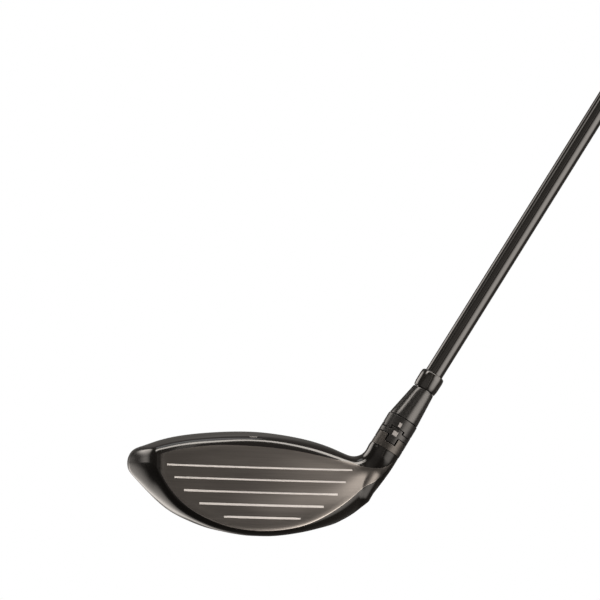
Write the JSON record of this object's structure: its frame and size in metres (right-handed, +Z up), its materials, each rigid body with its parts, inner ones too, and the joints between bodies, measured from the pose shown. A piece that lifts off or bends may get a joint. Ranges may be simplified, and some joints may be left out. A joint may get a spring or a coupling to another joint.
{
  "type": "fairway wood",
  "caption": "Right-handed golf wood: hollow black head with a brushed grooved face, adjustable hosel sleeve with toothed rings, tapered shaft and rubber grip.",
  "frame": {"origin": "middle of the flat contact pad under the sole, in line with the middle of the face", "axes": "+X towards the heel along the score lines, -Y out of the face, +Z up with the club at its address angle"},
  "size_m": [0.6603, 0.0873, 0.9515],
  "materials": {
    "painted_body": "gloss black paint over cast steel",
    "brushed_face": "fine horizontal brushing, dark grey",
    "gloss_crown": "deep gloss black",
    "ring_steel": "fine matt grey",
    "black_alloy": "black anodised, satin",
    "ferrule_plastic": "gloss black",
    "shaft_paint": "black gloss paint over carbon fibre",
    "bright_steel": "turned steel",
    "nylon": "natural nylon",
    "tungsten": "sintered metal",
    "tape": "two-sided tape",
    "grip_rubber": "matt black with a fine pattern"
  },
  "bodies": {
    "club": {"shaft": "shaft_paint", "ferrule": "ferrule_plastic", "adaptor": "black_alloy", "upper_cog": "black_alloy", "lower_cog": "black_alloy", "thread_insert": "bright_steel", "tip_plug": "nylon", "grip_tape": "tape", "grip": "grip_rubber", "grip_cap": "grip_rubber"},
    "head": {"head_body": "painted_body", "face_plate": "brushed_face", "crown": "gloss_crown", "hosel_ring": "ring_steel", "inner_weight": "tungsten", "sole_weight": "tungsten", "screw_washer": "bright_steel", "screw_retainer": "nylon"},
    "screw": {"heel_screw": "bright_steel"}
  },
  "joints": [
    {"name": "head_slide", "type": "slide", "parent": "club", "child": "head", "axis": [-0.4939, 0, -0.8695], "range_m": [0, 0.008]},
    {"name": "screw_turn", "type": "hinge", "parent": "head", "child": "screw", "pos_m": [0.04833, 0, 0.02085], "axis": [-0.4939, 0, -0.8695], "range_deg": [0, 3600]}
  ],
  "couplings": [
    {"joint": "head_slide", "follows": "screw_turn", "m_per_rad": 0.00012732}
  ]
}
